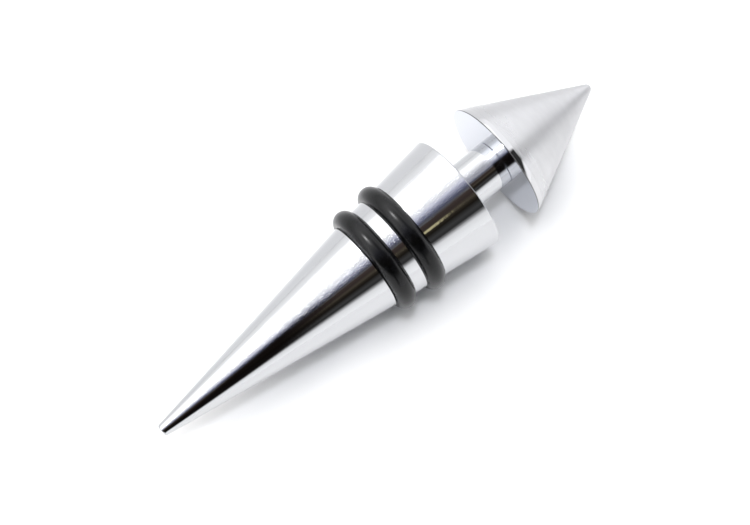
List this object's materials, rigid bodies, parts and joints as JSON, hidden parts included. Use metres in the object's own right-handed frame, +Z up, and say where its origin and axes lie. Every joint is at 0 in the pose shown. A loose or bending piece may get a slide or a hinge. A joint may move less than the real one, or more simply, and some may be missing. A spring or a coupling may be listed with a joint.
{
  "type": "bottle stopper",
  "caption": "Tapered chrome bottle stopper with two rubber seal rings, a short stem and a brushed cone knob that unscrews.",
  "frame": {"origin": "on the stopper's axis in its seat plane, where the collar's taper is as wide as an 18.5 mm bottle mouth, so where the bottle's lip stops it", "axes": "+X along the axis from the tip towards the knob, +Z up with the stopper lying down, +Y completes a right-handed frame"},
  "size_m": [0.0918, 0.0218, 0.0218],
  "materials": {
    "polished_chrome": "mirror-polished chrome plate",
    "seal_rubber": "smooth satin black rubber",
    "stud_steel": "plain rolled-thread steel",
    "brushed_knob": "satin, brushed round the cone, with a polished base and rim"
  },
  "bodies": {
    "plug": {"stopper_plug": "polished_chrome", "lower_seal_ring": "seal_rubber", "upper_seal_ring": "seal_rubber"},
    "sleeve": {"stem_sleeve": "polished_chrome"},
    "knob": {"knob": "brushed_knob", "threaded_stud": "stud_steel"}
  },
  "joints": [
    {"name": "knob_lift", "type": "slide", "parent": "plug", "child": "sleeve", "axis": [1, 0, 0], "range_m": [0, 0.004]},
    {"name": "knob_turn", "type": "hinge", "parent": "sleeve", "child": "knob", "pos_m": [0, 0, 0], "axis": [1, 0, 0], "range_deg": [0, 1800]}
  ],
  "couplings": [
    {"joint": "knob_turn", "follows": "knob_lift", "rad_per_m": 7854}
  ]
}
